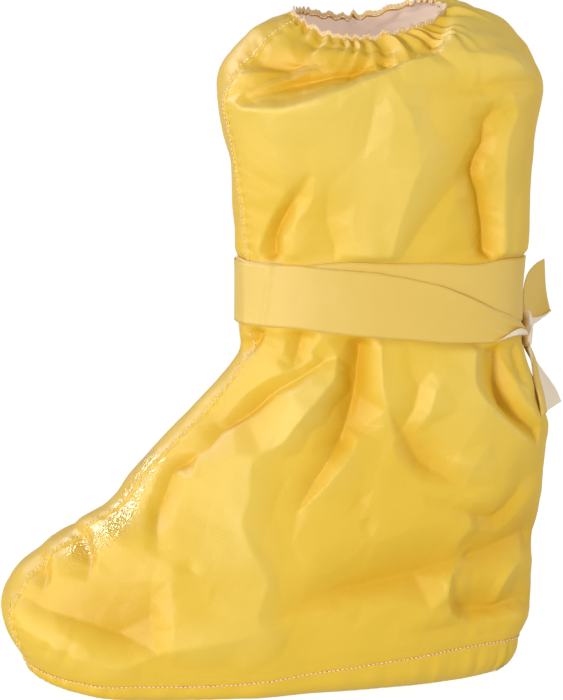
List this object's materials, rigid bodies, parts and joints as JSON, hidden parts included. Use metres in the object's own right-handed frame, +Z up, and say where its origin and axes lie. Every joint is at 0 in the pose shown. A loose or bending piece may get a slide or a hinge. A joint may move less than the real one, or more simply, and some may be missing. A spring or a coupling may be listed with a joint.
{
  "type": "chemical boot cover",
  "caption": "Tall soft boot cover of coated fabric with a gathered elastic collar, a sewn-on sole panel and an ankle tie knotted at the back.",
  "frame": {"origin": "on the floor, under the middle of the part's box", "axes": "+Z up from the sole, toe towards -X, heel and knot towards +X, the front seam on the -Y side"},
  "size_m": [0.3563, 0.1216, 0.4269],
  "materials": {
    "coated_fabric": "yellow film-coated nonwoven, satin with sharp glints, white inside",
    "tie_fabric": "yellow nonwoven strap, matte embossed, cream inside",
    "overlock": "off-white overlock thread over elastic"
  },
  "bodies": {
    "root": {"upper": "coated_fabric", "sole": "coated_fabric", "collar_elastic": "overlock", "front_seam": "coated_fabric", "sole_seam": "coated_fabric", "tie_first_turn": "tie_fabric", "tie_second_turn": "tie_fabric", "tie_knot": "tie_fabric", "tie_upper_tail": "tie_fabric", "tie_lower_tail": "tie_fabric"}
  },
  "joints": []
}
